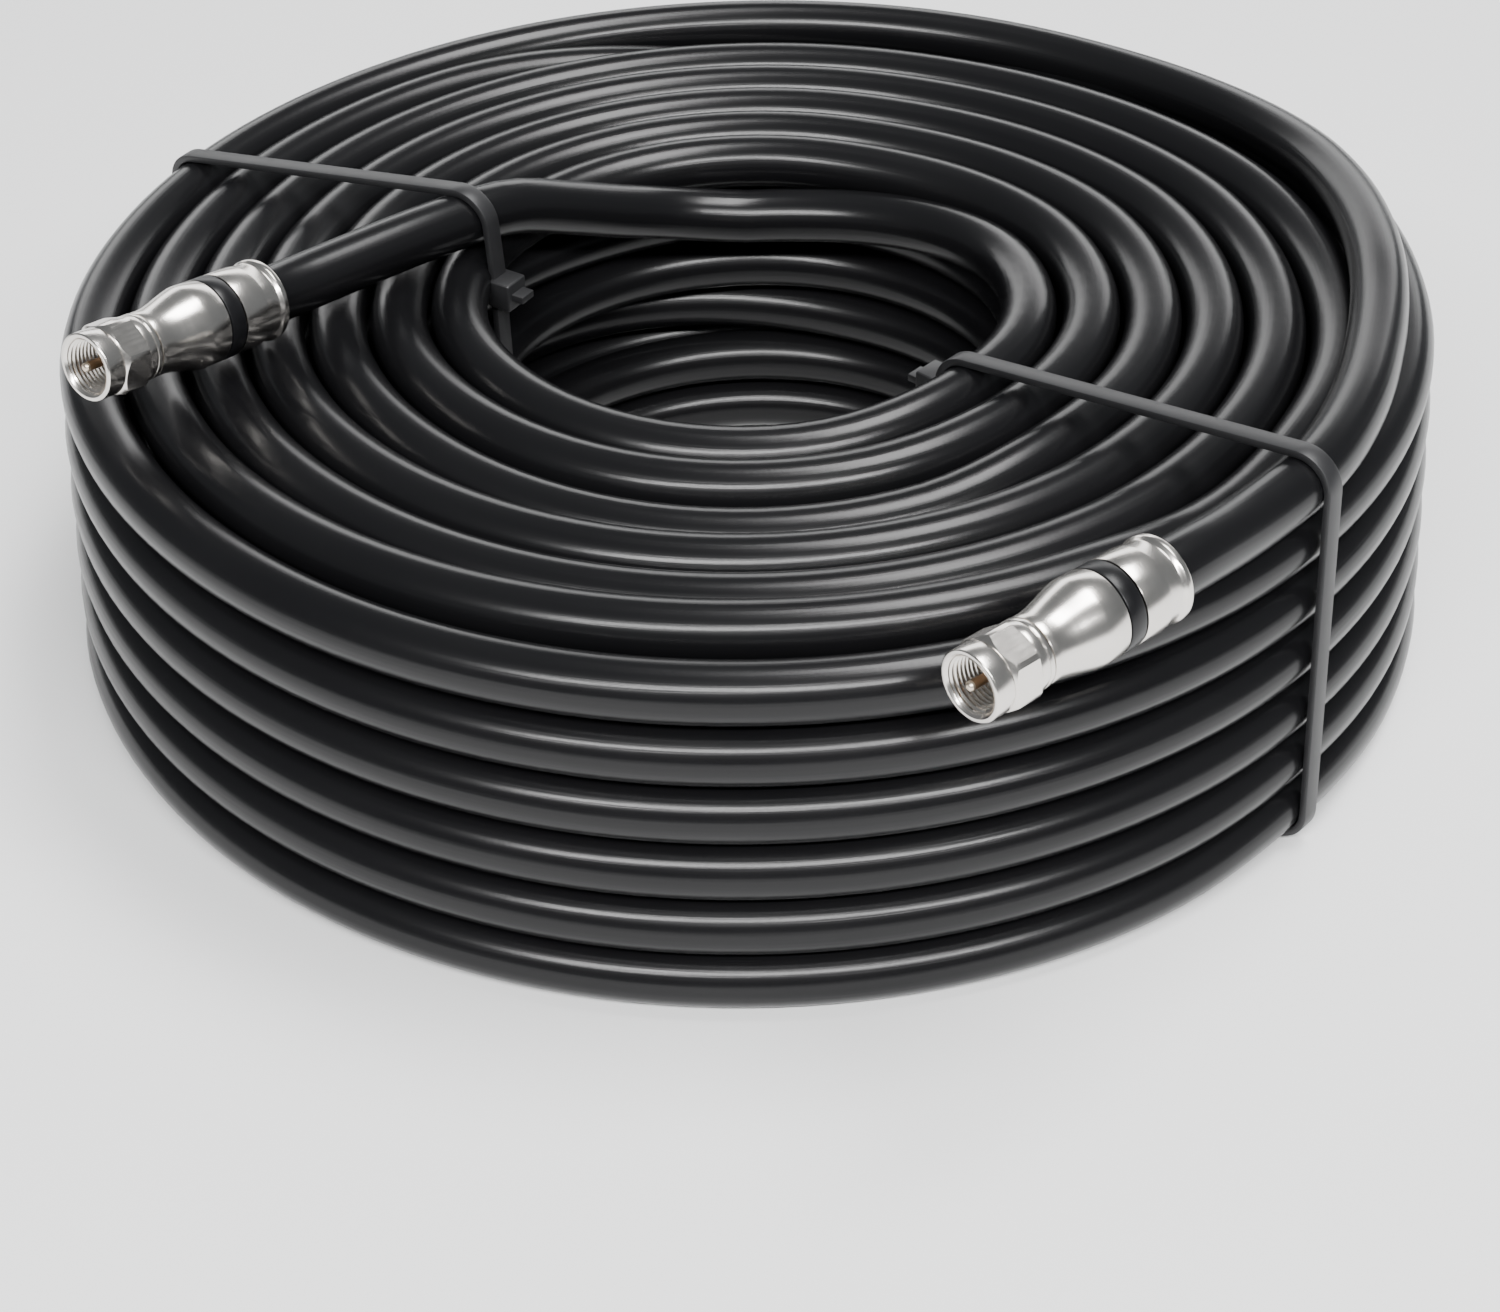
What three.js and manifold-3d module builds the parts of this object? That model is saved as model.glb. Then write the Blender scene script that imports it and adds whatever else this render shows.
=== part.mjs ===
// Coil of black coaxial cable with a screw-on plug on each end, held by two nylon ties.
// Millimetres, +Z up. The coil lies flat, and the viewer of the front stands at -Y.
import * as THREE from 'three';
import { mergeVertices } from 'three/addons/utils/BufferGeometryUtils.js';
import Module from 'manifold-3d';

const wasm = await Module();
wasm.setup();

// Cable and winding
const cableDiameter = 10.3;
const turnsAcross = 7;
const layersHigh = 6;
const gapBetweenColumns = 0.8;
const gapBetweenLayers = 0.8;
const boreDiameter = 96;
const spreadPerLayer = 0.8;
const crestFlatWidth = 4.3;
const valleyDepth = 3;
const coilSegments = 40;

// Clear distance between pieces that touch or fit together
const clearance = 0.3;

// Loose cable ends. Each plug's rear lies this far outside the innermost or the outermost turn.
const endTubeSides = 10;
const endTubeStep = 9;
const plugAOutside = 35.1;
const plugBOutside = 5.4;

// Cable ties
const tieWidth = 3.6;
const tieThickness = 1.4;
const tieHeadWidth = 5.6;
const tieHeadHeight = 5.6;
const tieHeadDepth = 5;
const tieHeadBelowTop = 7;
const tieStubLength = 2.4;
const tieSlackOverEnd = 0.4;
const tieCornerPoints = 4;

// Plug lengths, from the mouth back
const collarLength = 3.7;
const hexLength = 5.4;
const nutNeckLength = 2.8;
const threadChamfer = 0.45;
const nutLipLength = 1.8;
const waistLength = 1.5;
const flareLength = 9;
const bodyLandLength = 3.7;
const colourRingLength = 3.2;
const sleeveLandLength = 5;
const sleeveTaperLength = 3.7;
const flangeLength = 1.4;
const cableDepthInPlug = 21.3;

// Plug diameters
const hexAcrossFlats = 11.9;
const hexCornerTurned = 0.25;
const collarDiameter = 11.8;
const nutNeckDiameter = 11.6;
const threadBore = 9.5;
const waistDiameter = 11.4;
const bodyDiameter = 14.9;
const colourRingStep = 0.1;
const sleeveStep = 0.15;
const sleeveTaperDepth = 0.35;
const flangeDiameter = 14.7;
const postFlangeDiameter = 9;
const postFlangeLength = 1;
const postDiameter = 7.1;
const postBore = 5.2;
const postToCable = 1;
const insulatorLength = 4;
const conductorDiameter = 1.63;
const conductorProud = 0.3;
const plugSegments = 24;

const cableRadius = cableDiameter / 2;
const columnSpacing = cableDiameter + gapBetweenColumns;
const layerSpacing = cableDiameter + gapBetweenLayers;
const innerTurnRadius = boreDiameter / 2 + cableRadius;
const outerTurnRadius = innerTurnRadius + (turnsAcross - 1) * columnSpacing;
const topLayerHeight = cableRadius + (layersHigh - 1) * layerSpacing;
const coilHeight = topLayerHeight + cableRadius;
const endRestHeight = coilHeight + cableRadius + clearance;
const plugRestHeight = coilHeight + flangeDiameter / 2 + clearance;

const degrees = Math.PI / 180;

function plastic(color, roughness) {
  return new THREE.MeshStandardMaterial({ color, roughness, metalness: 0 });
}

function metal(color, roughness) {
  return new THREE.MeshStandardMaterial({ color, roughness, metalness: 1 });
}

const jacketBlack = () => plastic(0x17181a, 0.38);
const nylonBlack = () => plastic(0x2b2c2e, 0.55);
const ringBlack = () => plastic(0x101114, 0.45);
const insulatorCream = () => plastic(0xd9cfb8, 0.6);
const nickel = () => metal(0xc9c3b8, 0.3);
const copper = () => metal(0xb08a62, 0.35);

function namedMesh(name, geometry, material) {
  const mesh = new THREE.Mesh(geometry, material);
  mesh.name = name;
  return mesh;
}

// Merges a geometry's shared corners and hands it over as a closed solid.
function toSolid(geometry) {
  const bare = geometry.clone();
  bare.deleteAttribute('normal');
  bare.deleteAttribute('uv');
  const merged = mergeVertices(bare, 1e-4);
  return new wasm.Manifold(new wasm.Mesh({
    numProp: 3,
    vertProperties: new Float32Array(merged.attributes.position.array),
    triVerts: new Uint32Array(merged.index.array),
  }));
}

function toGeometry(solid) {
  const mesh = solid.getMesh();
  const geometry = new THREE.BufferGeometry();
  geometry.setAttribute('position', new THREE.BufferAttribute(new Float32Array(mesh.vertProperties), 3));
  geometry.setIndex(new THREE.BufferAttribute(new Uint32Array(mesh.triVerts), 1));
  return geometry;
}

// Turns a closed outline of [radius, height] points about Z.
function turned(outline, segments) {
  const points = outline.map(([radius, height]) => new THREE.Vector2(radius, height));
  points.push(points[0].clone());
  const geometry = new THREE.LatheGeometry(points, segments);
  geometry.rotateX(Math.PI / 2);
  return geometry;
}

// Turns lie evenly between the bore and the outside, which spreads a little on each lower layer.
function outerTurnOf(layer) {
  return outerTurnRadius + (layersHigh - 1 - layer) * spreadPerLayer;
}

function turnRadius(column, layer) {
  const share = column / (turnsAcross - 1);
  return innerTurnRadius + share * (outerTurnOf(layer) - innerTurnRadius);
}

// Ring of wound cable. Each turn on a face shows as a flat crest with a valley beside it.
function coilOutline() {
  const crest = crestFlatWidth / 2;
  const reach = cableRadius;
  const valley = cableRadius - valleyDepth;
  const outline = [];
  for (let column = 0; column < turnsAcross; column += 1) {
    const radius = turnRadius(column, 0);
    outline.push([radius - crest, 0], [radius + crest, 0]);
    if (column < turnsAcross - 1) {
      outline.push([turnRadius(column + 0.5, 0), valleyDepth]);
    }
  }
  for (let layer = 0; layer < layersHigh; layer += 1) {
    const height = cableRadius + layer * layerSpacing;
    const radius = outerTurnOf(layer);
    outline.push([radius + reach, height - crest], [radius + reach, height + crest]);
    if (layer < layersHigh - 1) {
      outline.push([outerTurnOf(layer + 0.5) + valley, height + layerSpacing / 2]);
    }
  }
  for (let column = turnsAcross - 1; column >= 0; column -= 1) {
    const radius = turnRadius(column, layersHigh - 1);
    outline.push([radius + crest, coilHeight], [radius - crest, coilHeight]);
    if (column > 0) {
      outline.push([turnRadius(column - 0.5, layersHigh - 1), coilHeight - valleyDepth]);
    }
  }
  for (let layer = layersHigh - 1; layer >= 0; layer -= 1) {
    const height = cableRadius + layer * layerSpacing;
    outline.push([innerTurnRadius - reach, height + crest], [innerTurnRadius - reach, height - crest]);
    if (layer > 0) {
      outline.push([innerTurnRadius - valley, height - layerSpacing / 2]);
    }
  }
  return outline;
}

// A point by its bearing about the coil's axis, its distance from the axis and its height.
function polar(bearing, radius, height) {
  return new THREE.Vector3(
    radius * Math.cos(bearing * degrees),
    radius * Math.sin(bearing * degrees),
    height,
  );
}

const sleeveLength = sleeveLandLength + sleeveTaperLength + flangeLength;
const nutLength = collarLength + hexLength + nutNeckLength;
const bodyLength = waistLength + flareLength + bodyLandLength;
const plugLength = nutLength + bodyLength + colourRingLength + sleeveLength + 3 * clearance;

// Where each plug lies: the middle of its rear face, and the way its mouth points.
const plugPoses = {
  a: {
    rear: polar(195.4, innerTurnRadius + plugAOutside, plugRestHeight),
    forward: new THREE.Vector3(-0.6, -0.785, 0.155).normalize(),
    spin: 12,
  },
  b: {
    rear: polar(-60.5, outerTurnRadius + plugBOutside, plugRestHeight),
    forward: new THREE.Vector3(-0.758, -0.652, 0.009).normalize(),
    spin: 20,
  },
};

// The straight stretch of cable held in a plug, ending a little way behind it.
function heldStretch(pose) {
  const along = (distance) => pose.rear.clone().addScaledVector(pose.forward, distance);
  return [along(cableDepthInPlug), along(cableDepthInPlug / 2), along(0), along(-cableRadius)];
}

// End A crosses the top of the coil, dips over the rim and runs on inside the bore.
const boreSideRadius = boreDiameter / 2 - cableRadius - clearance;
const endRouteA = new THREE.CatmullRomCurve3([
  ...heldStretch(plugPoses.a),
  polar(176, innerTurnRadius + 4.2, endRestHeight + 0.5),
  polar(160, innerTurnRadius - 5, endRestHeight - 0.3),
  polar(146, innerTurnRadius - 9.6, endRestHeight - 4.6),
  polar(130, boreSideRadius - 0.6, endRestHeight - 10),
  polar(112, boreSideRadius, endRestHeight - 14),
  polar(92, boreSideRadius, endRestHeight - 17),
]);

// End B lies on the outermost turn of the top layer.
const endRouteB = new THREE.CatmullRomCurve3([
  ...heldStretch(plugPoses.b),
  polar(-50, outerTurnRadius + 1, endRestHeight + 0.3),
  polar(-40, outerTurnRadius, endRestHeight + 0.1),
  polar(-28, outerTurnRadius, endRestHeight + 0.1),
  polar(-16, outerTurnRadius, endRestHeight + 0.1),
  polar(-4, outerTurnRadius, endRestHeight + 0.1),
  polar(8, outerTurnRadius, endRestHeight + 0.1),
]);

function cableEnd(route) {
  const section = new THREE.Shape();
  for (let side = 0; side < endTubeSides; side += 1) {
    const angle = (side / endTubeSides) * 2 * Math.PI;
    const x = cableRadius * Math.cos(angle);
    const y = cableRadius * Math.sin(angle);
    if (side === 0) {
      section.moveTo(x, y);
    } else {
      section.lineTo(x, y);
    }
  }
  return new THREE.ExtrudeGeometry(section, {
    steps: Math.round(route.getLength() / endTubeStep),
    extrudePath: route,
    bevelEnabled: false,
  });
}

// Each tie runs in an upright plane: its bearing, its distance beside the coil's axis, its cable end.
const tiePlanes = {
  left: { bearing: 147.4, beside: 21.2, route: endRouteA },
  right: { bearing: -42.7, beside: 0, route: endRouteB },
};

// A place in a tie's plane: outward along the bearing, sideways and up.
function inTiePlane(plane, point) {
  const turn = -plane.bearing * degrees;
  return point.clone().applyAxisAngle(new THREE.Vector3(0, 0, 1), turn);
}

// Where the cable end passes through the tie's plane.
function endCrossing(plane) {
  const samples = plane.route.getSpacedPoints(400).map((point) => inTiePlane(plane, point));
  const sorted = samples.filter((point) => point.x > 0);
  sorted.sort((a, b) => Math.abs(a.y - plane.beside) - Math.abs(b.y - plane.beside));
  return [sorted[0].x, sorted[0].z];
}

// Smallest closed outline around a set of [x, y] points.
function hull(points) {
  const sorted = [...points].sort((a, b) => a[0] - b[0] || a[1] - b[1]);
  const turnOf = (o, a, b) => (a[0] - o[0]) * (b[1] - o[1]) - (a[1] - o[1]) * (b[0] - o[0]);
  const chain = (list) => {
    const kept = [];
    for (const point of list) {
      while (kept.length > 1 && turnOf(kept.at(-2), kept.at(-1), point) <= 1e-6) {
        kept.pop();
      }
      kept.push(point);
    }
    return kept.slice(0, -1);
  };
  return [...chain(sorted), ...chain(sorted.reverse())];
}

// The five round sections that a tie is pulled around: four corner turns and the cable end.
function tiedSections(plane) {
  const across = (radius) => Math.sqrt(radius ** 2 - plane.beside ** 2);
  const inner = across(innerTurnRadius);
  const topOuter = across(outerTurnOf(layersHigh - 1));
  const bottomOuter = across(outerTurnOf(0));
  const bottom = cableRadius + clearance + tieThickness;
  return [
    [inner, bottom, 0],
    [bottomOuter, bottom, 0],
    [topOuter, topLayerHeight, 0],
    [inner, topLayerHeight, 0],
    [...endCrossing(plane), tieSlackOverEnd],
  ];
}

function tautOutline(plane, distance) {
  const points = [];
  const steps = 4 * tieCornerPoints;
  for (const [x, y, slack] of tiedSections(plane)) {
    for (let step = 0; step < steps; step += 1) {
      const angle = (step / steps) * 2 * Math.PI;
      const reach = distance + slack;
      points.push([x + reach * Math.cos(angle), y + reach * Math.sin(angle)]);
    }
  }
  return hull(points);
}

// Band between two taut outlines, standing in the tie's plane.
function tieBand(plane, insideDistance, outsideDistance, width) {
  const asVectors = (outline) => outline.map(([x, y]) => new THREE.Vector2(x, y));
  const shape = new THREE.Shape(asVectors(tautOutline(plane, outsideDistance)));
  shape.holes.push(new THREE.Path(asVectors(tautOutline(plane, insideDistance)).reverse()));
  const geometry = new THREE.ExtrudeGeometry(shape, { depth: width, bevelEnabled: false });
  geometry.rotateX(Math.PI / 2);
  geometry.translate(0, plane.beside + width / 2, 0);
  geometry.rotateZ(plane.bearing * degrees);
  return geometry;
}

function tieBlock(plane, depth, width, height, x, z) {
  const geometry = new THREE.BoxGeometry(depth, width, height);
  geometry.translate(x, plane.beside, z);
  geometry.rotateZ(plane.bearing * degrees);
  return toSolid(geometry);
}

// Head of a tie, with a stated allowance on every side.
function tieHead(plane, allowance) {
  const inside = cableRadius + clearance;
  const strapFace = Math.sqrt(innerTurnRadius ** 2 - plane.beside ** 2) - inside;
  const grow = 2 * allowance;
  const head = tieBlock(plane, tieHeadDepth + grow, tieHeadWidth + grow, tieHeadHeight + grow,
    strapFace - tieHeadDepth / 2, coilHeight - tieHeadBelowTop);
  const stubReach = tieHeadDepth + tieStubLength;
  const stub = tieBlock(plane, stubReach, tieWidth, tieThickness,
    strapFace - stubReach / 2, coilHeight - tieHeadBelowTop);
  return head.add(stub);
}

function tieSolid(plane) {
  const inside = cableRadius + clearance;
  const band = toSolid(tieBand(plane, inside, inside + tieThickness, tieWidth));
  return band.add(tieHead(plane, 0));
}

// Room that each tie takes out of the coil where it bites in or passes beneath.
function tieRoom(plane) {
  const inside = cableRadius + clearance / 10;
  const outside = cableRadius + tieThickness + 2 * clearance;
  const band = toSolid(tieBand(plane, inside, outside, tieWidth + 2 * clearance));
  return band.add(tieHead(plane, clearance));
}

let coilSolid = toSolid(turned(coilOutline(), coilSegments));
for (const plane of Object.values(tiePlanes)) {
  coilSolid = coilSolid.subtract(tieRoom(plane));
}

// Plug pieces. Each stands along Z with the rear face of the plug at 0 and its mouth up.
const mouth = plugLength;
const nutRear = mouth - nutLength;
const bodyFront = nutRear - clearance;
const bodyRear = bodyFront - bodyLength;
const ringFront = bodyRear - clearance;
const ringRear = ringFront - colourRingLength;
const sleeveFront = ringRear - clearance;
const postFlangeRear = nutRear + nutLipLength + clearance;
const postFront = postFlangeRear + postFlangeLength;
const cableFront = cableDepthInPlug;
const postRear = cableFront + postToCable;
const cableBore = cableRadius + clearance;
const postHole = postDiameter / 2 + clearance;

function couplingNut() {
  const collar = collarDiameter / 2;
  const neck = nutNeckDiameter / 2;
  const thread = threadBore / 2;
  const hexFront = mouth - collarLength;
  const hexRear = hexFront - hexLength;
  const corner = hexAcrossFlats / 2 / Math.cos(30 * degrees);
  const turnedCorner = corner - hexCornerTurned;
  const bevel = turnedCorner - collar;
  const blank = toSolid(turned([
    [thread, nutRear + nutLipLength], [postHole, nutRear + nutLipLength], [postHole, nutRear],
    [neck, nutRear], [neck, hexRear], [turnedCorner, hexRear], [turnedCorner, hexFront - bevel],
    [collar, hexFront], [collar, mouth], [thread + threadChamfer, mouth],
    [thread, mouth - threadChamfer],
  ], plugSegments));
  const hexagonLength = 2 * mouth;
  const hexagon = new THREE.CylinderGeometry(corner, corner, hexagonLength, 6);
  hexagon.rotateX(Math.PI / 2);
  hexagon.translate(0, 0, hexagonLength / 2);
  return toGeometry(blank.intersect(toSolid(hexagon)));
}

function plugBody() {
  const waist = waistDiameter / 2;
  const full = bodyDiameter / 2;
  const flareEnd = bodyFront - waistLength - flareLength;
  const outline = [[cableBore, bodyRear], [full - clearance, bodyRear], [full, bodyRear + clearance],
    [full, flareEnd]];
  const flareSteps = 6;
  for (let step = 1; step <= flareSteps; step += 1) {
    const share = step / flareSteps;
    const eased = (1 - Math.cos(share * Math.PI)) / 2;
    outline.push([full + (waist - full) * eased, flareEnd + share * flareLength]);
  }
  outline.push([waist, bodyFront], [postHole, bodyFront], [postHole, postRear - clearance],
    [cableBore, cableFront + clearance]);
  return turned(outline, plugSegments);
}

function centrePost() {
  const outer = postDiameter / 2;
  const flange = postFlangeDiameter / 2;
  const bore = postBore / 2;
  return turned([[bore, postRear], [outer, postRear], [outer, postFlangeRear], [flange, postFlangeRear],
    [flange, postFront], [bore, postFront]], plugSegments);
}

function insulator() {
  const outer = postBore / 2 - clearance;
  const hole = conductorDiameter / 2 + clearance;
  const front = postFront - clearance;
  return turned([[hole, front - insulatorLength], [outer, front - insulatorLength], [outer, front],
    [hole, front]], plugSegments);
}

function centreConductor() {
  const radius = conductorDiameter / 2;
  const rear = cableFront + clearance;
  const tip = mouth + conductorProud;
  return turned([[0, rear], [radius, rear], [radius, tip - clearance], [radius - clearance, tip],
    [0, tip]], plugSegments / 2);
}

function colourRing() {
  const outer = bodyDiameter / 2 - colourRingStep;
  return turned([[cableBore, ringRear], [outer, ringRear], [outer, ringFront],
    [cableBore, ringFront]], plugSegments);
}

function compressionSleeve() {
  const land = bodyDiameter / 2 - sleeveStep;
  const taper = land - sleeveTaperDepth;
  const flange = flangeDiameter / 2;
  return turned([[cableBore, 0], [flange - clearance, 0], [flange, clearance], [flange, flangeLength],
    [taper, flangeLength], [land, flangeLength + sleeveTaperLength], [land, sleeveFront],
    [cableBore, sleeveFront]], plugSegments);
}

function plug(letter, pose) {
  const group = new THREE.Group();
  const toMouth = new THREE.Quaternion().setFromUnitVectors(new THREE.Vector3(0, 0, 1), pose.forward);
  const spin = new THREE.Quaternion().setFromAxisAngle(pose.forward, pose.spin * degrees);
  group.quaternion.multiplyQuaternions(spin, toMouth);
  group.position.copy(pose.rear);
  group.add(
    namedMesh(`coupling_nut_${letter}`, couplingNut(), nickel()),
    namedMesh(`plug_body_${letter}`, plugBody(), nickel()),
    namedMesh(`centre_post_${letter}`, centrePost(), nickel()),
    namedMesh(`insulator_${letter}`, insulator(), insulatorCream()),
    namedMesh(`centre_conductor_${letter}`, centreConductor(), copper()),
    namedMesh(`colour_ring_${letter}`, colourRing(), ringBlack()),
    namedMesh(`compression_sleeve_${letter}`, compressionSleeve(), nickel()),
  );
  return group;
}

const wound = new THREE.Group();
wound.add(
  namedMesh('cable_coil', toGeometry(coilSolid), jacketBlack()),
  namedMesh('cable_end_a', cableEnd(endRouteA), jacketBlack()),
  namedMesh('cable_end_b', cableEnd(endRouteB), jacketBlack()),
  namedMesh('tie_left', toGeometry(tieSolid(tiePlanes.left)), nylonBlack()),
  namedMesh('tie_right', toGeometry(tieSolid(tiePlanes.right)), nylonBlack()),
);
for (const [letter, pose] of Object.entries(plugPoses)) {
  wound.add(plug(letter, pose));
}

// The origin is the middle of the footprint, on the floor.
const footprint = new THREE.Box3().setFromObject(wound, true);
const middle = footprint.getCenter(new THREE.Vector3());
wound.position.set(-middle.x, -middle.y, 0);

const coaxialCableCoil = new THREE.Group();
coaxialCableCoil.add(wound);

export default coaxialCableCoil;
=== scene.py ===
import math

import bmesh
import bpy
import numpy as np
from mathutils import Euler, Matrix, Quaternion, Vector
from mathutils.geometry import convex_hull_2d


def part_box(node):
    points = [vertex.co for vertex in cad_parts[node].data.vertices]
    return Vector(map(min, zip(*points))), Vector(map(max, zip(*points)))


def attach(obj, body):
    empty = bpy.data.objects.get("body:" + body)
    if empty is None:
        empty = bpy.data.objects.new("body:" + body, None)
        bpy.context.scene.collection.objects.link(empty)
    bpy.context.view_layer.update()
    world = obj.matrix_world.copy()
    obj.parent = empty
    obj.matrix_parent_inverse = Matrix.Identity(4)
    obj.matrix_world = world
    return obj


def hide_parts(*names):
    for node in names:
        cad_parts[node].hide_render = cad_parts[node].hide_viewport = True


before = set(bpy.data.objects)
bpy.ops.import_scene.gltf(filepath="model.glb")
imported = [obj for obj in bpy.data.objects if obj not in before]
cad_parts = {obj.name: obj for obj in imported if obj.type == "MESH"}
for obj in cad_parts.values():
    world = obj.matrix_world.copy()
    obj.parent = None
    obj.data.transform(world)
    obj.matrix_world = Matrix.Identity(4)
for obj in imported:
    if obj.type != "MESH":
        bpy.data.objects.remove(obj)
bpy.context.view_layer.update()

# Camera
# Stands in front of the coil and looks down on it, at the photograph's angle and with its lens.
camera_place = Vector((-0.00123, -0.4425, 0.32548))
camera_dip = math.radians(38.126)
camera_azimuth = math.radians(0.16)
camera_roll = math.radians(-0.74)
focal_length = 66.982
film_width = 36.0

camera_data = bpy.data.cameras.new("camera")
camera_data.lens = focal_length
camera_data.sensor_width = film_width
camera = bpy.data.objects.new("camera", camera_data)
bpy.context.scene.collection.objects.link(camera)
look = Euler((math.pi / 2 - camera_dip, 0, -camera_azimuth)).to_matrix()
look = look @ Euler((0, 0, camera_roll)).to_matrix()
camera.matrix_world = Matrix.Translation(camera_place) @ look.to_4x4()
bpy.context.scene.camera = camera

# Cable
# One length of heavy coaxial cable with a smooth black polyethylene jacket. It is wound into seven
# turns across and six layers high, and both of its ends come out on top of the coil.
cable_diameter = 0.0103
cable_length = 22.9
column_gap = 0.0008
layer_gap = 0.0008
bore_diameter = 0.096
spread_per_layer = 0.0008
columns = 7
layers = 6
clearance = 0.0003

cable_radius = cable_diameter / 2
column_spacing = cable_diameter + column_gap
layer_spacing = cable_diameter + layer_gap
inner_radius = bore_diameter / 2 + cable_radius
outer_radius = inner_radius + (columns - 1) * column_spacing
top_height = cable_radius + (layers - 1) * layer_spacing
coil_height = top_height + cable_radius
end_height = coil_height + cable_radius + clearance
coil_low, coil_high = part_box("cable_coil")
coil_axis = Vector(((coil_low.x + coil_high.x) / 2, (coil_low.y + coil_high.y) / 2, 0))


def polar(bearing, radius, height):
    """A point by its bearing about the coil's axis in degrees, its distance from it and its height."""
    angle = math.radians(bearing)
    return coil_axis + Vector((radius * math.cos(angle), radius * math.sin(angle), height))


plug_length = 0.0403
flange_radius = 0.00735
cable_depth_in_plug = 0.0213
plug_rest_height = coil_height + flange_radius + clearance
plug_rear = {
    "a": polar(195.4, inner_radius + 0.0351, plug_rest_height),
    "b": polar(-60.5, outer_radius + 0.0054, plug_rest_height),
}
plug_forward = {
    "a": Vector((-0.6, -0.785, 0.155)).normalized(),
    "b": Vector((-0.758, -0.652, 0.009)).normalized(),
}


def held_stretch(letter):
    """The straight stretch of cable in a plug and just behind it."""
    distances = (cable_depth_in_plug, cable_depth_in_plug / 2, 0, -cable_radius)
    return [plug_rear[letter] + plug_forward[letter] * distance for distance in distances]


# The coil's back is pressed in towards its axis, most at one bearing, and the outer turns more.
pressed_bearing = 105.8
pressed_inner_turns = 0.0045
pressed_outer_turns = 0.01
pressed_more_below = 0.07


def pressed(bearing, column):
    """How far a turn is pressed in towards the axis."""
    facing = np.clip(np.cos(np.radians(bearing - pressed_bearing)), 0, None) ** 1.3
    share = np.clip((column - 1) / (columns - 1), 0, 1)
    return facing * (pressed_inner_turns + share * (pressed_outer_turns - pressed_inner_turns))


bore_side = bore_diameter / 2 - cable_radius - clearance
end_a_route = held_stretch("a") + [
    polar(176, inner_radius + 0.0042 - pressed(176, 1), end_height + 0.0005),
    polar(161, inner_radius - 0.0048 - pressed(161, 1), end_height - 0.0014),
    polar(146, inner_radius - 0.0094 - pressed(146, 1), end_height - 0.006),
    polar(130, bore_side - 0.0004 - pressed(130, 1), end_height - 0.0105),
    polar(112, bore_side - pressed(112, 1), end_height - 0.0145),
]
end_b_route = [
    polar(-20, outer_radius - 0.005, end_height - 0.0012),
    polar(-30, outer_radius - 0.0028, end_height - 0.0004),
    polar(-40, outer_radius - 0.0002, end_height + 0.0001),
    polar(-50, outer_radius + 0.0012, end_height + 0.0003),
] + held_stretch("b")[::-1]

# Each cell of the winding in the order that the cable fills them, as a column and a layer, with the
# bearing where the cable moves on to the next one and half of the angle that it takes for that.
winding = []
row_moves = ((6, 25, 45, 95), (5, 165, 50, 250), (4, 330, 50, 395), (3, 465, 50, 550))
for layer, bearing_along, half_along, bearing_down in row_moves:
    order = range(1, columns) if layer % 2 == 0 else range(columns - 1, 0, -1)
    for column in order:
        winding.append([column, layer, bearing_along, half_along])
    winding[-1][2:] = bearing_down, 36
for column in range(1, columns):
    order = (2, 1) if column % 2 else (1, 2)
    for layer in order:
        winding.append([column, layer, 0, 45])
hidden_start = 4 * (columns - 1)
for step, cell in enumerate(winding[hidden_start:]):
    cell[2] = 550 if step == 0 else 608 + 11.5 * step
winding[-1][2:] = 735, 25
for layer in range(1, layers + 1):
    winding.append([columns, layer, 785, 35])
winding[-1][2:] = 742, 32

# How far the top turns sit from their even places, by column, at bearings a quarter turn apart
# from the right: outward and upward.
top_shift = {
    0: (0, 0, 0, 0, 0, 0, 0),
    90: (0, 0, 0, 0, 0, 0, 0),
    180: (0, 0, 0, 0, 0, 0, 0),
    270: (0.75, 0.35, 0.85, 0.35, -0.15, -1.05, -0.25),
}
top_rise = {
    0: (0, 0, 0, 0, 0, 0, 0),
    90: (0, 0, 0, 0, 0, 0, 0),
    180: (0, 0, 0, 0, 0, 0, 0),
    270: (-1.2, -0.8, -2.4, 0, 0, 2.5, 0),
}


def eased(share):
    return (1 - np.cos(np.clip(share, 0, 1) * math.pi)) / 2


def uneven(table, column, bearing):
    """Reads a table of the top turns' offsets at a fractional column and bearing."""
    turn = np.mod(bearing, 360)
    bearings = sorted(table)
    step = 360 / len(bearings)
    values = np.array([table[angle] for angle in bearings]) / 1000
    quarter = np.floor(turn / step).astype(int)
    share = eased(turn / step - quarter)
    left = np.clip(np.floor(column).astype(int), 1, columns - 1) - 1
    across = np.clip(column - 1 - left, 0, 1)
    here = values[quarter, left] * (1 - across) + values[quarter, left + 1] * across
    after = (quarter + 1) % len(bearings)
    there = values[after, left] * (1 - across) + values[after, left + 1] * across
    return here * (1 - share) + there * share


# The planes of the two ties, by bearing and by distance beside the coil's axis. The lowest turns
# are lifted there by the ties that pass beneath them.
tie_planes = {"left": (147.4, 0.0212), "right": (-42.7, 0)}
tie_lift = 0.00175
tie_lift_reach = 0.034


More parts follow.
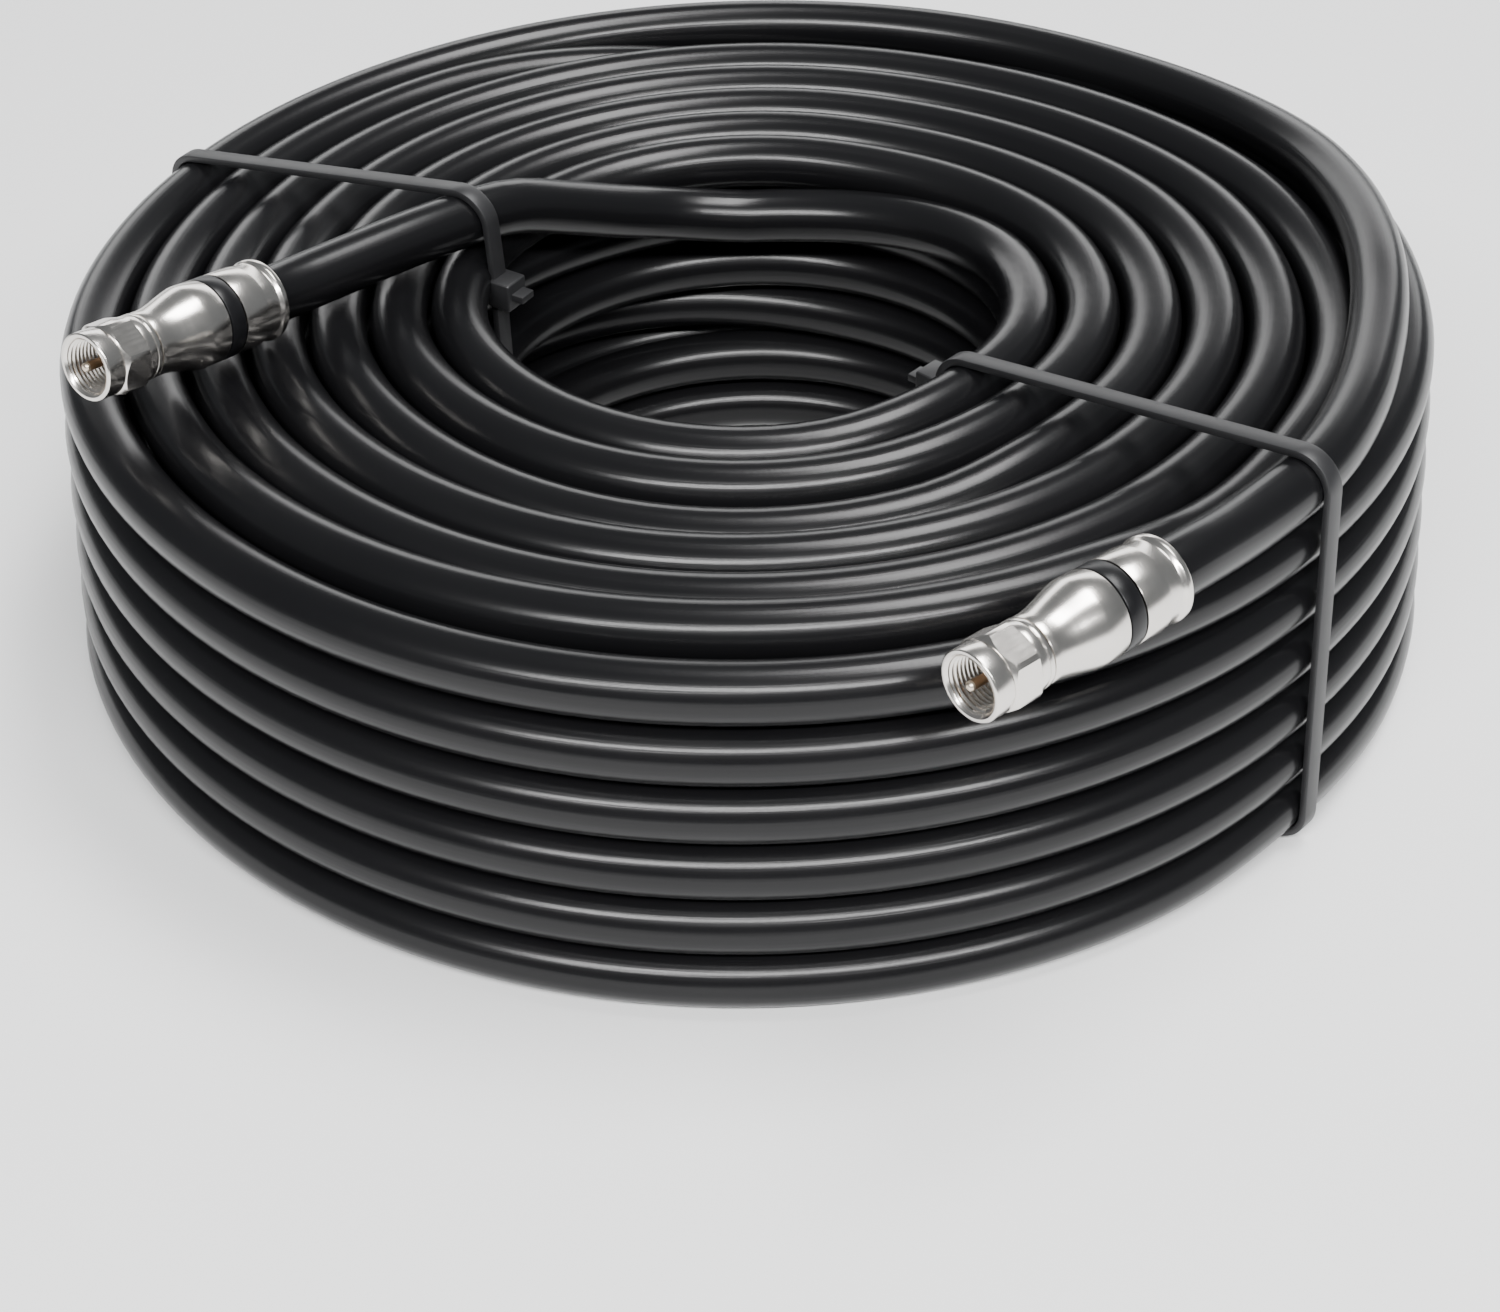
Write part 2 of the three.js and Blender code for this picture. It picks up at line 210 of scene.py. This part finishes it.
def wound_points():
    """Points of the whole winding, from the bore where end A enters it to end B on top."""
    bearing = np.arange(90.0, 785 - 360 * 42 - 80, -6.0)
    column = np.full(bearing.shape, (bore_side - inner_radius) / column_spacing + 1)
    layer = np.full(bearing.shape, layers - (top_height - (end_height - 0.017)) / layer_spacing)
    cells = [(column[0], layer[0], 30, 60)] + [tuple(cell) for cell in winding]
    cells.append((columns - 0.5, layers + (end_height - 0.0016 - top_height) / layer_spacing, 0, 0))
    for lap, (cell, after) in enumerate(zip(cells, cells[1:])):
        middle, half = cell[2] - 360 * lap, cell[3]
        share = eased((middle + half - bearing) / (2 * half))
        column += share * (after[0] - cell[0])
        layer += share * (after[1] - cell[1])
    spread = spread_per_layer * np.clip(layers - layer, 0, None)
    radius = inner_radius + (column - 1) * (column_spacing + spread / (columns - 1))
    radius -= pressed(bearing, column) * (1 + pressed_more_below * np.clip(layers - layer, 0, None))
    height = cable_radius + (layer - 1) * layer_spacing
    on_top = np.clip(layer - (layers - 1), 0, 1) * np.clip(layers + 1 - layer, 0, 1)
    on_top *= np.clip(column, 0, 1)
    calm = np.ones(bearing.shape)
    for tie_bearing, beside in tie_planes.values():
        turn = np.radians(bearing - tie_bearing)
        away = np.where(np.cos(turn) > 0, np.abs(radius * np.sin(turn) - beside), 1)
        near = 1 - eased(away / tie_lift_reach)
        calm = np.minimum(calm, 1 - near)
        height += near * np.clip(tie_lift - (layer - 1) * layer_gap, 0, None)
    radius += on_top * calm * uneven(top_shift, column, bearing)
    height += on_top * calm * uneven(top_rise, column, bearing)
    return [polar(*point) for point in zip(bearing, radius, height)]


def through(points, step):
    """Evenly spaced points on one smooth curve through the given ones."""
    at = np.array([tuple(point) for point in points])
    at = np.vstack([2 * at[0] - at[1], at, 2 * at[-1] - at[-2]])
    knots = np.concatenate([[0], np.cumsum(np.linalg.norm(np.diff(at, axis=0), axis=1) ** 0.5)])
    fine = []
    for i in range(1, len(at) - 2):
        t0, t1, t2, t3 = knots[i - 1 : i + 3]
        t = np.linspace(t1, t2, 12, endpoint=False)[:, None]
        a1 = (t1 - t) / (t1 - t0) * at[i - 1] + (t - t0) / (t1 - t0) * at[i]
        a2 = (t2 - t) / (t2 - t1) * at[i] + (t - t1) / (t2 - t1) * at[i + 1]
        a3 = (t3 - t) / (t3 - t2) * at[i + 1] + (t - t2) / (t3 - t2) * at[i + 2]
        b1 = (t2 - t) / (t2 - t0) * a1 + (t - t0) / (t2 - t0) * a2
        b2 = (t3 - t) / (t3 - t1) * a2 + (t - t1) / (t3 - t1) * a3
        fine.append((t2 - t) / (t2 - t1) * b1 + (t - t1) / (t2 - t1) * b2)
    fine = np.vstack([*fine, at[-2:-1]])
    travel = np.concatenate([[0], np.cumsum(np.linalg.norm(np.diff(fine, axis=0), axis=1))])
    even = np.linspace(0, travel[-1], round(travel[-1] / step) + 1)
    return np.stack([np.interp(even, travel, fine[:, axis]) for axis in range(3)], axis=1)


def tube(name, route, radius, resolution):
    """A round tube along a route, as a mesh with its own UV map along and around it."""
    curve = bpy.data.curves.new(name, "CURVE")
    curve.dimensions = "3D"
    curve.bevel_depth = radius
    curve.bevel_resolution = resolution
    curve.use_fill_caps = True
    spline = curve.splines.new("POLY")
    spline.points.add(len(route) - 1)
    spline.points.foreach_set("co", np.hstack([route, np.ones((len(route), 1))]).ravel())
    spline.use_smooth = True
    holder = bpy.data.objects.new(name, curve)
    bpy.context.scene.collection.objects.link(holder)
    shape = bpy.data.meshes.new_from_object(holder.evaluated_get(bpy.context.evaluated_depsgraph_get()))
    bpy.data.objects.remove(holder)
    piece = bpy.data.objects.new(name, shape)
    bpy.context.scene.collection.objects.link(piece)
    return piece


cable_route = through(end_a_route + wound_points() + end_b_route, 0.0047)
cable = tube("coax_cable", cable_route, cable_radius, 8)


class Socket:
    """A socket of a finish's nodes. Arithmetic on it adds Math nodes."""

    def __init__(self, finish, link):
        self.finish = finish
        self.link = link

    def maths(self, operation, *values):
        return self.finish.node("ShaderNodeMath", {"operation": operation}, dict(enumerate(values)))

    def __add__(self, other):
        return self.maths("ADD", self, other)

    def __sub__(self, other):
        return self.maths("SUBTRACT", self, other)

    def __rsub__(self, other):
        return self.maths("SUBTRACT", other, self)

    def __mul__(self, other):
        return self.maths("MULTIPLY", self, other)

    def __pow__(self, other):
        return self.maths("POWER", self, other)

    __radd__ = __add__
    __rmul__ = __mul__


class Finish:
    """A material and its nodes."""

    def __init__(self, name, **shader):
        self.material = bpy.data.materials.new(name)
        self.material.use_nodes = True
        self.tree = self.material.node_tree
        self.shader = self.tree.nodes["Principled BSDF"]
        for socket, value in shader.items():
            self.shader.inputs[socket.replace("_", " ").title().replace("Ior", "IOR")].default_value = value

    def put(self, target, value):
        if isinstance(value, Socket):
            self.tree.links.new(value.link, target)
        else:
            target.default_value = value

    def node(self, kind, settings=None, sockets=None, output=0):
        made = self.tree.nodes.new(kind)
        for key, value in (settings or {}).items():
            if key == "stops":
                while len(made.color_ramp.elements) < len(value):
                    made.color_ramp.elements.new(0.5)
                for stop, (position, colour) in zip(made.color_ramp.elements, value):
                    stop.position = position
                    stop.color = colour
            else:
                setattr(made, key, value)
        for key, value in (sockets or {}).items():
            self.put(made.inputs[key], value)
        return Socket(self, made.outputs[output])

    def drive(self, socket, value):
        self.put(self.shader.inputs[socket], value)

    def bump(self, height, distance, strength=1.0, below=None):
        sockets = {"Height": height, "Distance": distance, "Strength": strength}
        if below:
            sockets["Normal"] = below
        return self.node("ShaderNodeBump", {}, sockets)

    def noise(self, vector, scale, detail=2.0, roughness=0.5):
        sockets = {"Vector": vector, "Scale": scale, "Detail": detail, "Roughness": roughness}
        return self.node("ShaderNodeTexNoise", {}, sockets)

    def mix(self, factor, first, second):
        return self.node("ShaderNodeMix", {"data_type": "RGBA"}, {0: factor, 6: first, 7: second}, 2)


def black_jacket():
    finish = Finish("black_jacket", specular_ior_level=0.3)
    place = finish.node("ShaderNodeTexCoord", output=3)
    along = finish.node("ShaderNodeTexCoord", output=2)
    parts = finish.node("ShaderNodeSeparateXYZ", {}, {0: along})
    around = Socket(finish, parts.link.node.outputs[1]) * (2 * math.pi)
    run = Socket(finish, parts.link.node.outputs[0]) * (cable_length / 0.05)
    ring = finish.node(
        "ShaderNodeCombineXYZ", {},
        {0: around.maths("COSINE", around) * 9, 1: around.maths("SINE", around) * 9, 2: run},
    )
    drawn = finish.noise(ring, 1.0, 3.0)
    cloud = finish.noise(place, 28.0, 4.0)
    speck = finish.noise(place, 1500.0, 2.0)
    dull = cloud * 0.5 + drawn * 0.5
    finish.drive("Roughness", dull * 0.12 + 0.19)
    finish.drive("Base Color", finish.mix(cloud, (0.0035, 0.0035, 0.004, 1), (0.006, 0.006, 0.0065, 1)))
    fine = finish.bump(speck, 0.00002, 0.25)
    finish.drive("Normal", finish.bump(drawn, 0.00008, 0.35, fine))
    return finish.material


cable.data.materials.clear()
cable.data.materials.append(black_jacket())
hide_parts("cable_coil", "cable_end_a", "cable_end_b")
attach(cable, "coil")

# Ties
# Two black nylon ties are pulled tight round the coil. Each holds down one end of the cable, and has
# its head in the bore with the cut stub of its tail.
tie_width = 0.0036
tie_thickness = 0.0014
tie_edge = 0.0003
tie_clearance = 0.0001
tie_head_width = 0.0056
tie_head_height = 0.0056
tie_head_depth = 0.005
tie_head_below_top = 0.007
tie_stub_length = 0.0024


def lofted(bm, rings, cyclic):
    """A skin over rings of points, closed on itself or with a cap on each end."""
    rows = [[bm.verts.new(point) for point in ring] for ring in rings]
    for row, after in zip(rows, rows[1:] + rows[:1]) if cyclic else zip(rows, rows[1:]):
        for i in range(len(row)):
            bm.faces.new((row[i - 1], row[i], after[i], after[i - 1]))
    if not cyclic:
        bm.faces.new(rows[0])
        bm.faces.new(rows[-1][::-1])


def rounded_section(thickness, width, edge):
    """The strap's section, with round corners."""
    section = []
    for quarter in range(4):
        middle = math.radians(45 + 90 * quarter)
        corner_x = math.copysign(thickness / 2 - edge, math.cos(middle))
        corner_y = math.copysign(width / 2 - edge, math.sin(middle))
        for step in (-45, 0, 45):
            angle = middle + math.radians(step)
            section.append((corner_x + edge * math.cos(angle), corner_y + edge * math.sin(angle)))
    return section


def tie_crossings(bearing, beside):
    """Where the cable passes through a tie's plane: outward, up, and how slanted it is there."""
    turn = math.radians(bearing)
    about = cable_route - np.array(coil_axis)
    outward = about[:, 0] * math.cos(turn) + about[:, 1] * math.sin(turn)
    sideways = about[:, 1] * math.cos(turn) - about[:, 0] * math.sin(turn) - beside
    crossings = []
    for i in np.nonzero((sideways[1:] * sideways[:-1] <= 0) & (outward[1:] > 0))[0]:
        share = sideways[i] / (sideways[i] - sideways[i + 1])
        point = cable_route[i] * (1 - share) + cable_route[i + 1] * share
        x = outward[i] * (1 - share) + outward[i + 1] * share
        run = np.linalg.norm(cable_route[i + 1] - cable_route[i])
        crossings.append((x, point[2], min(run / abs(sideways[i + 1] - sideways[i]), 1.25)))
    return crossings


def taut_line(bearing, beside):
    """The strap's middle line round all of the cable, as points with their outward directions."""
    off = tie_clearance + tie_thickness / 2
    points, ways = [], []
    for x, height, slant in tie_crossings(bearing, beside):
        for angle in np.radians(np.arange(0, 360, 6)):
            way = Vector((math.cos(angle), math.sin(angle)))
            points.append(Vector((x + way.x * (cable_radius * slant + off), height + way.y * (cable_radius + off))))
            ways.append(way)
    return [(points[i], ways[i]) for i in convex_hull_2d(points)]


def block(bm, size, middle, edge):
    """A box with round edges."""
    place = Matrix.Translation(middle) @ Matrix.Diagonal((*size, 1))
    corners = bmesh.ops.create_cube(bm, size=1, matrix=place)["verts"]
    edges = list({edge for corner in corners for edge in corner.link_edges})
    bmesh.ops.bevel(
        bm, geom=edges, offset=edge, offset_type="OFFSET", segments=3, profile=0.5, affect="EDGES", material=-1,
    )


def nylon():
    finish = Finish("nylon", specular_ior_level=0.45)
    place = finish.node("ShaderNodeTexCoord", output=3)
    cloud = finish.noise(place, 90.0, 3.0)
    grain = finish.noise(place, 2600.0, 2.0)
    finish.drive("Roughness", cloud * 0.16 + 0.36)
    finish.drive("Base Color", finish.mix(cloud, (0.01, 0.01, 0.011, 1), (0.018, 0.018, 0.019, 1)))
    finish.drive("Normal", finish.bump(grain, 0.00003, 0.35))
    return finish.material


def shaped(bm, name, material, place=None):
    """An object from a shape, with its sharp edges kept."""
    bmesh.ops.recalc_face_normals(bm, faces=bm.faces)
    if place:
        bm.transform(place)
    mesh = bpy.data.meshes.new(name)
    bm.to_mesh(mesh)
    bm.free()
    mesh.shade_smooth()
    mesh.set_sharp_from_angle(angle=math.radians(28))
    mesh.materials.append(material)
    piece = bpy.data.objects.new(name, mesh)
    bpy.context.scene.collection.objects.link(piece)
    return piece


tie_material = nylon()
for side, (bearing, beside) in tie_planes.items():
    line = taut_line(bearing, beside)
    section = rounded_section(tie_thickness, tie_width, tie_edge)
    bm = bmesh.new()
    rings = []
    for point, way in line:
        rings.append([(point.x + way.x * x, beside + y, point.y + way.y * x) for x, y in section])
    lofted(bm, rings, True)
    head_height = coil_height - tie_head_below_top
    corners = [point for point, way in line]
    for low, high in zip(corners, corners[1:] + corners[:1]):
        if (low.y - head_height) * (high.y - head_height) <= 0 and low.x < (inner_radius + outer_radius) / 2:
            share = (head_height - low.y) / (high.y - low.y)
            strap_x = low.x + share * (high.x - low.x) + tie_thickness / 2
    head_size = (tie_head_depth, tie_head_width, tie_head_height)
    block(bm, head_size, Vector((strap_x - tie_head_depth / 2, beside, head_height)), 0.0005)
    stub_reach = tie_head_depth + tie_stub_length
    stub_size = (stub_reach, tie_width, tie_thickness)
    block(bm, stub_size, Vector((strap_x - stub_reach / 2, beside, head_height)), 0.00015)
    place = Matrix.Translation(coil_axis) @ Matrix.Rotation(math.radians(bearing), 4, "Z")
    tie = shaped(bm, f"nylon_tie_{side}", tie_material, place)
    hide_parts(f"tie_{side}")
    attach(tie, "coil")

# Plugs
# A compression plug is pressed onto each end of the cable: a sleeve, a coloured ring and a flared
# body, nickel-plated, with a coupling nut that turns freely in front of them.
flange_length = 0.0014
sleeve_taper_length = 0.0037
sleeve_land_length = 0.005
colour_ring_length = 0.0032
body_land_length = 0.0037
flare_length = 0.009
waist_length = 0.0015
nut_neck_length = 0.0028
hex_length = 0.0054
collar_length = 0.0037
body_radius = 0.00745
waist_radius = 0.0057
cable_bore = cable_radius + clearance
turn_steps = 96
plug_spin = {"a": math.radians(12), "b": math.radians(20)}
plug_place = {}
for letter, forward in plug_forward.items():
    turn = Quaternion(forward, plug_spin[letter]) @ Vector((0, 0, 1)).rotation_difference(forward)
    plug_place[letter] = Matrix.Translation(plug_rear[letter]) @ turn.to_matrix().to_4x4()


def turned(outline, edge=0.0001):
    """A solid turned about Z from a closed outline of radii and heights, with its corners broken."""
    bm = bmesh.new()
    corners = [bm.verts.new((radius, 0, height)) for radius, height in outline]
    edges = [bm.edges.new((corners[i - 1], corners[i])) for i in range(len(corners))]
    bmesh.ops.spin(
        bm, geom=corners + edges, cent=(0, 0, 0), axis=(0, 0, 1), angle=2 * math.pi, steps=turn_steps,
        use_merge=True,
    )
    bmesh.ops.remove_doubles(bm, verts=bm.verts, dist=1e-7)
    bmesh.ops.delete(bm, geom=[line for line in bm.edges if not line.link_faces], context="EDGES")
    bmesh.ops.recalc_face_normals(bm, faces=bm.faces)
    sharp = [line for line in bm.edges if line.calc_face_angle(0) > math.radians(25)]
    bmesh.ops.bevel(
        bm, geom=sharp, offset=edge, offset_type="OFFSET", segments=2, profile=0.5, affect="EDGES", material=-1,
    )
    return bm


def in_plug(finish, letter):
    """The plug's own place of a point: across it, and along it from its rear."""
    back = plug_place[letter].inverted()
    world_place = finish.node("ShaderNodeTexCoord", output=3)
    sockets = {"Vector": world_place, "Location": back.translation, "Rotation": back.to_euler()}
    return finish.node("ShaderNodeMapping", {"vector_type": "POINT"}, sockets)


def nickel(letter, name="nickel", hexagon=None):
    """Bright nickel plate with fine turning lines, or with lines along it on the hexagon's flats."""
    finish = Finish(f"{name}_{letter}", metallic=1.0)
    place = in_plug(finish, letter)
    parts = finish.node("ShaderNodeSeparateXYZ", {}, {0: place})
    x, y, z = (Socket(finish, parts.link.node.outputs[i]) for i in range(3))
    around = finish.node("ShaderNodeCombineXYZ", {}, {0: x * 90, 1: y * 90, 2: z * 5200})
    lines = finish.noise(around, 1.0, 3.0)
    if hexagon:
        along = finish.node("ShaderNodeCombineXYZ", {}, {0: x * 2600, 1: y * 2600, 2: z * 160})
        low, high = hexagon
        on_hexagon = x.maths("GREATER_THAN", z, low) * x.maths("LESS_THAN", z, high)
        drawn = finish.noise(along, 1.0, 3.0)
        lines = drawn * on_hexagon + lines * (1 - on_hexagon)
    cloud = finish.noise(place, 260.0, 3.0)
    speck = finish.noise(place, 3000.0, 2.0)
    finish.drive("Base Color", finish.mix(cloud, (0.74, 0.70, 0.65, 1), (0.82, 0.79, 0.75, 1)))
    finish.drive("Roughness", lines * 0.10 + cloud * 0.08 + 0.13)
    fine = finish.bump(speck, 0.000004, 0.3)
    finish.drive("Normal", finish.bump(lines, 0.000012, 0.5, fine))
    return finish.material


def plug_piece(bm, name, node, letter, material, body="coil"):
    """Sets a plug's piece in its place."""
    piece = shaped(bm, f"{name}_{letter}", material, plug_place[letter])
    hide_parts(f"{node}_{letter}")
    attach(piece, body)
    return piece


nickel_of = {letter: nickel(letter) for letter in plug_place}

# Compression sleeves
# Turned and nickel-plated, at the rear of each plug, with a thin round flange behind a hollow neck.
sleeve_land = body_radius - 0.00015
sleeve_neck = sleeve_land - 0.00045
sleeve_length = flange_length + sleeve_taper_length + sleeve_land_length
for letter in plug_place:
    outline = [
        (cable_bore, 0), (flange_radius - 0.0002, 0), (flange_radius, 0.0003),
        (flange_radius, flange_length - 0.0003), (flange_radius - 0.0002, flange_length),
        (sleeve_neck, flange_length + 0.0004),
    ]
    for step in range(1, 7):
        share = step / 6
        outline.append((
            sleeve_neck + (sleeve_land - sleeve_neck) * share**1.6,
            flange_length + 0.0004 + (sleeve_taper_length - 0.0004) * share,
        ))
    outline += [(sleeve_land, sleeve_length), (cable_bore, sleeve_length)]
    plug_piece(
        turned(outline), "plug_sleeve", "compression_sleeve", letter, nickel_of[letter])

# Coloured rings
# Smooth black plastic, between the sleeve and the body.
ring_rear = sleeve_length + clearance
ring_front = ring_rear + colour_ring_length


def ring_plastic():
    finish = Finish("ring_plastic", specular_ior_level=0.32)
    place = finish.node("ShaderNodeTexCoord", output=3)
    cloud = finish.noise(place, 300.0, 3.0)
    finish.drive("Roughness", cloud * 0.15 + 0.28)
    finish.drive("Base Color", finish.mix(cloud, (0.003, 0.003, 0.0035, 1), (0.006, 0.006, 0.007, 1)))
    finish.drive("Normal", finish.bump(finish.noise(place, 2200.0), 0.00001, 0.3))
    return finish.material


ring_material = ring_plastic()
for letter in plug_place:
    ring_radius = body_radius - 0.0001
    outline = [
        (cable_bore, ring_rear), (ring_radius, ring_rear), (ring_radius, ring_front), (cable_bore, ring_front),
    ]
    plug_piece(
        turned(outline, 0.00025), "plug_ring", "colour_ring", letter, ring_material)

# Bodies
# Turned and nickel-plated, with a short straight land that flares in to a narrow waist.
body_rear = ring_front + clearance
flare_rear = body_rear + body_land_length
body_front = flare_rear + flare_length + waist_length
post_hole = 0.00385
post_rear = cable_depth_in_plug + 0.001
for letter in plug_place:
    outline = [(cable_bore, body_rear), (body_radius - 0.0001, body_rear), (body_radius, flare_rear)]
    for step in range(1, 13):
        share = step / 12
        fall = eased(share) / 2 + (1 - (1 - share) ** 1.8) / 2
        outline.append((body_radius + (waist_radius - body_radius) * fall, flare_rear + flare_length * share))
    outline += [
        (waist_radius, body_front), (post_hole, body_front), (post_hole, post_rear - clearance),
        (cable_bore, cable_depth_in_plug + clearance),
    ]
    plug_piece(
        turned(outline), "plug_shell", "plug_body", letter, nickel_of[letter])

# Centre posts
# Nickel-plated tubes inside the bodies. Each carries its nut on a round flange.
nut_rear = body_front + clearance
post_radius = 0.00355
post_bore = 0.0026
post_flange_radius = 0.0045
post_flange_rear = nut_rear + 0.0018 + clearance
post_front = post_flange_rear + 0.001
for letter in plug_place:
    outline = [
        (post_bore, post_rear), (post_radius, post_rear), (post_radius, post_flange_rear),
        (post_flange_radius, post_flange_rear), (post_flange_radius, post_front), (post_bore, post_front),
    ]
    plug_piece(
        turned(outline), "plug_post", "centre_post", letter, nickel_of[letter])

# Insulators
# Cream plastic foam round each centre conductor, cut flush in the post.
insulator_length = 0.004
conductor_radius = 0.000815


def cream_plastic():
    finish = Finish("cream_plastic", specular_ior_level=0.35)
    place = finish.node("ShaderNodeTexCoord", output=3)
    pores = finish.noise(place, 2400.0, 3.0)
    finish.drive("Roughness", pores * 0.2 + 0.5)
    finish.drive("Base Color", finish.mix(pores, (0.50, 0.44, 0.34, 1), (0.72, 0.67, 0.56, 1)))
    finish.drive("Normal", finish.bump(pores, 0.00004, 0.5))
    return finish.material


cream = cream_plastic()
for letter in plug_place:
    front = post_front - clearance
    hole, outer = conductor_radius + clearance, post_bore - clearance
    outline = [
        (hole, front - insulator_length), (outer, front - insulator_length), (outer, front), (hole, front),
    ]
    plug_piece(
        turned(outline), "plug_insulator", "insulator", letter, cream)

# Centre conductors
# Solid copper-clad steel with a brown skin of oxide, and a bright rounded tip at the nut's mouth.
conductor_tip = plug_length + 0.0003


def copper(letter):
    finish = Finish(f"copper_{letter}", metallic=1.0)
    place = in_plug(finish, letter)
    parts = finish.node("ShaderNodeSeparateXYZ", {}, {0: place})
    z = Socket(finish, parts.link.node.outputs[2])
    cloud = finish.noise(place, 900.0, 3.0)
    drawn = finish.mix(cloud, (0.30, 0.17, 0.09, 1), (0.50, 0.33, 0.20, 1))
    at_tip = z.maths("GREATER_THAN", z, conductor_tip - 0.0009)
    finish.drive("Base Color", finish.mix(at_tip, drawn, (0.72, 0.62, 0.50, 1)))
    finish.drive("Roughness", cloud * 0.15 + 0.25)
    finish.drive("Normal", finish.bump(cloud, 0.00001, 0.4))
    return finish.material


for letter in plug_place:
    outline = [
        (0, cable_depth_in_plug + clearance), (conductor_radius, cable_depth_in_plug + clearance),
        (conductor_radius, conductor_tip - 0.0005), (conductor_radius - 0.0002, conductor_tip - 0.00015),
        (conductor_radius - 0.0005, conductor_tip), (0, conductor_tip),
    ]
    plug_piece(
        turned(outline, 0.00005), "plug_conductor", "centre_conductor", letter, copper(letter))

# Coupling nuts
# Nickel-plated hexagon nuts with a turned neck and collar and a fine thread inside. Each turns on
# its post's flange.
thread_pitch = 0.000794
thread_radius = 0.00475
thread_crest = 0.00437
thread_steps = 48
hex_half = 0.00595
hex_rear = nut_rear + nut_neck_length
hex_front = hex_rear + hex_length
neck_radius = 0.0058
collar_radius = 0.0059
turned_corner = hex_half / math.cos(math.pi / 6) - 0.00025


def common_solid(first, second):
    """The part that two solids have in common."""
    holders = []
    for name, bm in (("blank", first), ("cutter", second)):
        mesh = bpy.data.meshes.new(name)
        bm.to_mesh(mesh)
        bm.free()
        holders.append(bpy.data.objects.new(name, mesh))
        bpy.context.scene.collection.objects.link(holders[-1])
    cut = holders[0].modifiers.new("cut", "BOOLEAN")
    cut.operation = "INTERSECT"
    cut.solver = "EXACT"
    cut.object = holders[1]
    mesh = bpy.data.meshes.new_from_object(holders[0].evaluated_get(bpy.context.evaluated_depsgraph_get()))
    for holder in holders:
        bpy.data.objects.remove(holder)
    bm = bmesh.new()
    bm.from_mesh(mesh)
    return bm


def thread(bm, rear, front):
    """The crest of a right-hand thread that winds along the bore."""
    total = round((front - rear) / thread_pitch * thread_steps)
    rings = []
    for step in range(total + 1):
        turn = step / thread_steps * 2 * math.pi
        height = rear + step / thread_steps * thread_pitch
        grown = min(1, step / thread_steps, (total - step) / thread_steps) * 0.95 + 0.05
        crest = thread_radius - (thread_radius - thread_crest) * grown
        section = (
            (thread_radius + 0.00005, -0.42), (crest, -0.06), (crest, 0.06), (thread_radius + 0.00005, 0.42),
        )
        rings.append([
            (radius * math.cos(turn), radius * math.sin(turn), height + along * thread_pitch)
            for radius, along in section
        ])
    lofted(bm, rings, False)


for letter in plug_place:
    bevel = turned_corner - collar_radius
    outline = [
        (thread_radius, nut_rear + 0.0018), (post_hole, nut_rear + 0.0018), (post_hole, nut_rear),
        (neck_radius, nut_rear),
        (neck_radius, nut_rear + 0.0008), (neck_radius - 0.00015, nut_rear + 0.00085),
        (neck_radius - 0.00015, nut_rear + 0.00095), (neck_radius, nut_rear + 0.001),
        (neck_radius, hex_rear - 0.0002), (neck_radius - 0.00015, hex_rear - 0.00015),
        (neck_radius - 0.00015, hex_rear), (collar_radius, hex_rear),
        (turned_corner, hex_rear + bevel * 0.5), (turned_corner, hex_front - bevel),
        (collar_radius - 0.0001, hex_front), (collar_radius - 0.0002, hex_front + 0.00005),
        (collar_radius - 0.0002, hex_front + 0.00015), (collar_radius, hex_front + 0.0002),
        (collar_radius, plug_length - 0.0002), (collar_radius - 0.0002, plug_length),
        (thread_radius + 0.00045, plug_length), (thread_radius, plug_length - 0.00045),
    ]
    blank = turned(outline, 0.00004)
    prism = bmesh.new()
    bmesh.ops.create_cone(
        prism, cap_ends=True, segments=6, radius1=hex_half / math.cos(math.pi / 6),
        radius2=hex_half / math.cos(math.pi / 6), depth=4 * plug_length,
    )
    nut = common_solid(blank, prism)
    thread(nut, post_front + 0.0004, plug_length - 0.0004)
    nut_material = nickel(letter, "nut_nickel", (hex_rear, hex_front))
    plug_piece(
        nut, "plug_nut", "coupling_nut", letter, nut_material, f"nut_{letter}")

# Floor and light
# A plain pale floor under soft studio light.
floor_mesh = bpy.data.meshes.new("floor")
bm = bmesh.new()
bmesh.ops.create_grid(bm, x_segments=1, y_segments=1, size=6)
bm.to_mesh(floor_mesh)
bm.free()
floor = bpy.data.objects.new("floor", floor_mesh)
bpy.context.scene.collection.objects.link(floor)
paper = Finish("paper", base_color=(0.86, 0.86, 0.86, 1), roughness=0.7)
floor_mesh.materials.append(paper.material)

world = bpy.data.worlds.new("studio")
bpy.context.scene.world = world
world.use_nodes = True
world.node_tree.nodes["Background"].inputs["Color"].default_value = (0.9, 0.95, 1.0, 1)
world.node_tree.nodes["Background"].inputs["Strength"].default_value = 0.2


def softbox(name, place, aim, width, height, power):
    lamp = bpy.data.lights.new(name, "AREA")
    lamp.shape = "RECTANGLE"
    lamp.size = width
    lamp.size_y = height
    lamp.energy = power
    holder = bpy.data.objects.new(name, lamp)
    bpy.context.scene.collection.objects.link(holder)
    holder.matrix_world = Matrix.Translation(place) @ (Vector(aim) - Vector(place)).to_track_quat(
        "-Z", "Y").to_matrix().to_4x4()


softbox("front_softbox", Vector((0.05, -1.0, 1.05)), (0, 0, 0.03), 1.7, 0.13, 46)
softbox("top_softbox", Vector((0.45, 0.2, 1.6)), (0, 0, 0), 0.9, 0.5, 30)
softbox("back_softbox", Vector((0, 1.5, 0.55)), (0, 0, 0.05), 2.6, 0.5, 14)
